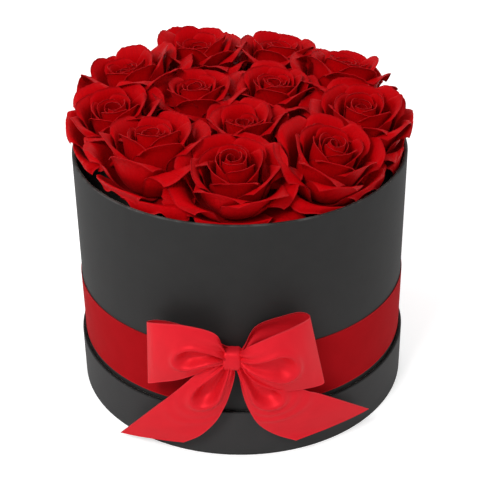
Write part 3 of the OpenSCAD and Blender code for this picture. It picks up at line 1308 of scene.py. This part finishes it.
LEFT_LOOP = RibbonRun(
    "left_loop_ribbon",
    (
        (-4, -108, 79, -3, -108, 71),
        (-9.5, -113, 94.5, -15, -111, 68),
        (-26, -112, 99.5, -30, -110, 61),
        (-41, -105, 96, -42, -105, 55),
        (-48.5, -98, 92, -50, -98, 49),
        (-42, -97, 92.5, -43, -96, 52),
        (-29, -103, 94, -30, -102, 60),
        (-14, -106, 88.5, -16, -105, 67),
        (-1, -105, 80, -1, -105, 71),
    ),
    bulge=3.0,
    dimple=Dimple(end=0.52, depth=5.2, width=0.3, centre=0.12, rim=1.8),
    front_share=0.5,
    flat_length=104.0,
    held=Held.FOLDED,
)
RIGHT_LOOP = RibbonRun(
    "right_loop_ribbon",
    (
        (3, -108, 71, 4, -108, 79.5),
        (13, -111, 61, 11.5, -114, 88.5),
        (26, -111, 55, 24, -116, 97),
        (40, -105, 52, 34, -114, 101),
        (51.5, -98, 51, 42.5, -106, 102),
        (46, -93, 53, 38, -101, 102),
        (34, -97, 58, 28, -100, 99),
        (17, -101, 64, 12.5, -102, 93),
        (3, -105, 71, 5, -105, 79),
    ),
    bulge=3.2,
    dimple=Dimple(end=0.66, depth=5.4, width=0.34, centre=-0.06, rim=2.0),
    front_share=0.5,
    flat_length=108.0,
    held=Held.FOLDED,
)
LEFT_TAIL = RibbonRun(
    "left_tail_ribbon",
    (
        (-4, -107, 76, 0, -107, 71),
        (-12, -110, 71, 1, -109, 64),
        (-21, -110, 64.5, -2, -110, 51),
        (-32, -109, 53, -6, -110, 40),
        (-44, -105, 39, -11.5, -109, 29),
        (-57, -98, 22, -20, -108, 19),
        (-70, -89, 4, -30, -105, 11),
    ),
    bulge=2.5,
    dimple=Dimple(end=0.5, depth=6.0, rim=2.2, ripple=0.3),
    front_share=1.0,
    flat_length=94.0,
    held=Held.HUNG,
    flat_area=0.0031,
)
RIGHT_TAIL = RibbonRun(
    "right_tail_ribbon",
    (
        (1, -107, 70, 4, -107, 76),
        (3.5, -109, 61, 13, -110, 67),
        (6, -110, 49, 24, -109, 60),
        (10, -110, 37.5, 36, -105.5, 53),
        (15.5, -109, 27.5, 48, -99.5, 45),
        (24.5, -107, 19.5, 63, -89.5, 32),
        (36, -104, 13, 79.5, -75.5, 15),
    ),
    bulge=4.0,
    dimple=Dimple(end=0.47, depth=6.0, width=0.46, centre=0.1, rim=2.2, ripple=0.6),
    front_share=1.0,
    flat_length=96.0,
    held=Held.HUNG,
    flat_area=0.0031,
)


@dataclass
class Bow:
    """The satin band and the bow tied on its front."""

    width: float = 40.0
    thickness: float = 0.3
    gather: tuple[float, float] = (3.0, 38.0)
    gathered_share: float = 0.36
    gathered_drop: float = 4.0
    band_pleat: float = 0.9
    band_slack: float = 0.12
    band_rows: int = 41
    knot_half_width: float = 5.4
    knot_half_height: float = 7.0
    knot_half_depth: float = 5.6
    knot_aside: float = -0.5
    knot_waist: float = 0.10
    knot_roll: float = 0.34
    knot_crease: float = 0.07
    knot_growth: float = 0.03
    knot_overlap: float = 0.5
    knot_radius: float = 6.5
    knot_map_half_width: float = 5.5

    def __post_init__(self) -> None:
        """Finds the band's place on the box and the knot's place on the band."""
        self.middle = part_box("ribbon_band")[0].z / MM + self.width / 2
        low, high = (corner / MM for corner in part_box("box_side_paper"))
        self.box_radius = (high.x - low.x) / 2
        knot_low, knot_high = (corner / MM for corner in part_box("bow_knot"))
        self.knot = (knot_low + knot_high) / 2

    def make(
        self, name: str, node: str, grid: np.ndarray, place: np.ndarray,
        material: bpy.types.Material,
    ) -> bpy.types.Object:
        """Makes a piece of ribbon in the place of its CAD node.

        Args:
            name: Name of the piece.
            node: The CAD node that it stands for.
            grid: Its points.
            place: The place of each point on the flat ribbon.
            material: The satin.

        Returns:
            The piece.
        """
        shells = ThinShells(CLOTH_MAP)
        shells.add(grid, place, self.thickness)
        piece = shells.build(name, material)
        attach(piece, Body.BOX.value)
        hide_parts(node)
        return report(piece)

    def band(self, material: bpy.types.Material) -> None:
        """Builds the band, which gathers to the knot's height behind the bow.

        Args:
            material: The band's satin.
        """
        behind_bow, elsewhere = np.linspace(0.0, 0.62, 80), np.linspace(0.64, math.pi, 110)
        half_turn = np.concatenate([behind_bow, elsewhere])
        around = np.concatenate([half_turn, TURN - half_turn[-2::-1]])[:, None]
        s = np.linspace(-1.0, 1.0, self.band_rows)[None, :]
        off = np.abs(np.arctan2(np.sin(around), np.cos(around))) * self.box_radius
        spread = smoothstep(*self.gather, off)
        half = self.width / 2 * (self.gathered_share + (1.0 - self.gathered_share) * spread)
        lift = (self.knot.z - self.gathered_drop - self.middle) * (1.0 - spread)
        height = self.middle + lift + half * s
        pleat = (1.0 - spread) * (1.1 + np.cos(4.0 * math.pi * s + 0.5)) * self.band_pleat
        slack = self.band_slack * (1 + np.sin(5.0 * around + 1.5 * s)) + 0.1
        radius = self.box_radius + self.thickness / 2 + slack + pleat
        x = radius * np.sin(around)
        y = -radius * np.cos(around)
        grid = np.stack([x, y, height + 0 * radius], axis=2)
        along = around * self.box_radius + 0 * s
        place = np.stack([self.width / 2 * s + 0 * along, along], axis=2)
        piece = self.make("band_ribbon", "ribbon_band", grid, place, material)

    def tie(self, material: bpy.types.Material) -> None:
        """Builds the knot as a length of ribbon that goes once round the bow's waist.

        Args:
            material: The bow's satin.
        """
        around = np.linspace(0.0, TURN + self.knot_overlap, 97)[:, None]
        s = np.linspace(-1.0, 1.0, 33)[None, :]
        waist = 1.0 - self.knot_waist * (1 - s**2)
        rolled = waist * (1.0 - self.knot_roll * np.abs(s) ** 5)
        folds = np.cos(2.0 * math.pi * s + 0.8 * np.sin(around))
        crease = self.knot_crease * folds * (1 - s**4)
        growth = 1.0 + self.knot_growth * around / TURN
        square = (np.abs(np.cos(around)) ** 3 + np.abs(np.sin(around)) ** 3) ** (-1 / 3)
        depth = (self.knot_half_depth * rolled + crease) * square * growth
        rise = (self.knot_half_height * rolled + crease) * square * growth
        x = self.knot.x + self.knot_aside + self.knot_half_width * s + 0 * around
        y = self.knot.y + depth * np.sin(around)
        z = self.knot.z + rise * np.cos(around)
        along = around * self.knot_radius + 0 * s
        place = np.stack([s * self.knot_map_half_width + 0 * along, along], axis=2)
        piece = self.make("knot_ribbon", "bow_knot", np.stack([x, y, z], axis=2), place, material)

    def run(self, piece: RibbonRun, node: str, material: bpy.types.Material) -> None:
        """Builds a loop or a tail.

        Args:
            piece: The length of ribbon.
            node: The CAD node that it stands for.
            material: The satin.
        """
        made = self.make(piece.name, node, *piece.grid(self.width), material)

    def build(self) -> None:
        """Builds the band, the knot, the loops and the tails."""
        # The band is the same ribbon as the bow, given about half the bow's colour: painted shade
        # on the band round the box's side.
        band_satin = SatinFinish(
            "band_satin", colour=(0.385, 0.0045, 0.008), slub_colour=(0.36, 0.004, 0.007),
            edge_colour=(0.44, 0.009, 0.013), smoothest=0.62, metallic=0.0, gloss=0.04,
        ).material()
        bow_satin = SatinFinish(
            "bow_satin", colour=(0.76, 0.0145, 0.026), slub_colour=(0.72, 0.013, 0.024),
            edge_colour=(0.80, 0.035, 0.05),
        ).material()
        self.band(band_satin)
        self.run(LEFT_LOOP, "bow_loop_left", bow_satin)
        self.run(RIGHT_LOOP, "bow_loop_right", bow_satin)
        self.run(LEFT_TAIL, "bow_tail_left", bow_satin)
        self.run(RIGHT_TAIL, "bow_tail_right", bow_satin)
        self.tie(bow_satin)


# Studio: the camera, the lights and the floor


@dataclass(frozen=True)
class SoftLight:
    """A square soft light that points at the box, in metres and watts."""

    name: str
    place: Point
    size: float
    power: float
    aimed_at: Point = (0.0, 0.0, 0.12)

    def hang(self) -> None:
        """Hangs the light."""
        data = bpy.data.lights.new(self.name, "AREA")
        data.shape = "SQUARE"
        data.size = self.size
        data.energy = self.power
        made = bpy.data.objects.new(self.name, data)
        bpy.context.collection.objects.link(made)
        made.location = self.place
        aim = Vector(self.aimed_at) - made.location
        made.rotation_euler = aim.to_track_quat("-Z", "Y").to_euler()


@dataclass
class Studio:
    """A pale floor, soft light from all sides and the camera."""

    elevation: float = math.radians(31.6)
    azimuth: float = math.radians(2.9)
    distance: float = 0.808
    focal_length: float = 96.2
    sensor_width: float = 36.0
    roll: float = math.radians(-0.8)
    shift: tuple[float, float] = (-0.0025, 0.0257)
    nearest: float = 0.01
    floor_size: float = 6.0
    floor_colour: Colour = (0.85, 0.85, 0.85)
    floor_glow: float = 0.45
    room_light: float = 0.5
    backdrop_light: float = 0.5
    lights: tuple[SoftLight, ...] = (
        SoftLight("key", (-0.55, -1.0, 1.25), 0.45, 13.0),
        SoftLight("left", (-1.4, 0.2, 0.7), 0.7, 4.0),
        SoftLight("right", (1.4, 0.1, 0.7), 0.7, 4.2),
        SoftLight("back", (0.1, 1.2, 1.3), 0.8, 6.0),
    )

    def camera(self) -> None:
        """Places the camera."""
        data = bpy.data.cameras.new("camera")
        data.lens = self.focal_length
        data.sensor_width = self.sensor_width
        data.shift_x, data.shift_y = self.shift
        data.clip_start = self.nearest
        made = bpy.data.objects.new("camera", data)
        bpy.context.collection.objects.link(made)
        target = Vector((0.0, 0.0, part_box("box_side_paper")[1].z / 2))
        flat = math.cos(self.elevation)
        aside, ahead = math.sin(self.azimuth) * flat, math.cos(self.azimuth) * flat
        back = Vector((aside, -ahead, math.sin(self.elevation)))
        made.location = target + back * self.distance
        facing = (-back).to_track_quat("-Z", "Y").to_matrix()
        made.rotation_euler = (facing @ Matrix.Rotation(self.roll, 3, "Z")).to_euler()
        bpy.context.scene.camera = made

    def floor(self) -> None:
        """Lays the floor, which looks brighter to the camera than to the object."""
        material, nodes, shader = new_material("studio_floor")
        seen = nodes.add("LightPath").outputs["Is Camera Ray"]
        nodes.set(
            shader,
            Base_Color=rgba(self.floor_colour),
            Emission_Color=rgba(WHITE),
            Emission_Strength=nodes.math("MULTIPLY", seen, self.floor_glow),
            Roughness=0.9,
            Specular_IOR_Level=0.1,
        )
        half = self.floor_size / 2
        corners = np.array([(-half, -half, 0), (half, -half, 0), (half, half, 0), (-half, half, 0)])
        made = make_object("studio_floor", corners, [(0, 1, 2, 3)], material)

    def world(self) -> None:
        """Fills the room with even light."""
        world = bpy.data.worlds.new("studio")
        world.use_nodes = True
        bpy.context.scene.world = world
        nodes = Nodes(world.node_tree)
        seen = nodes.add("LightPath").outputs["Is Camera Ray"]
        strength = nodes.math("MULTIPLY_ADD", seen, self.backdrop_light, self.room_light)
        nodes.set(world.node_tree.nodes["Background"], Color=rgba(WHITE), Strength=strength)
        bpy.context.scene.view_settings.view_transform = "Standard"

    def build(self) -> None:
        """Builds the studio."""
        self.camera()
        self.floor()
        self.world()
        for light in self.lights:
            light.hang()


def main() -> None:
    """Builds the studio, the carton, the roses and the bow."""
    logging.basicConfig(level=logging.INFO, format="%(name)s %(message)s")
    Studio().build()
    Carton().build()
    Bouquet().build()
    Bow().build()


if __name__ == "__main__":
    main()
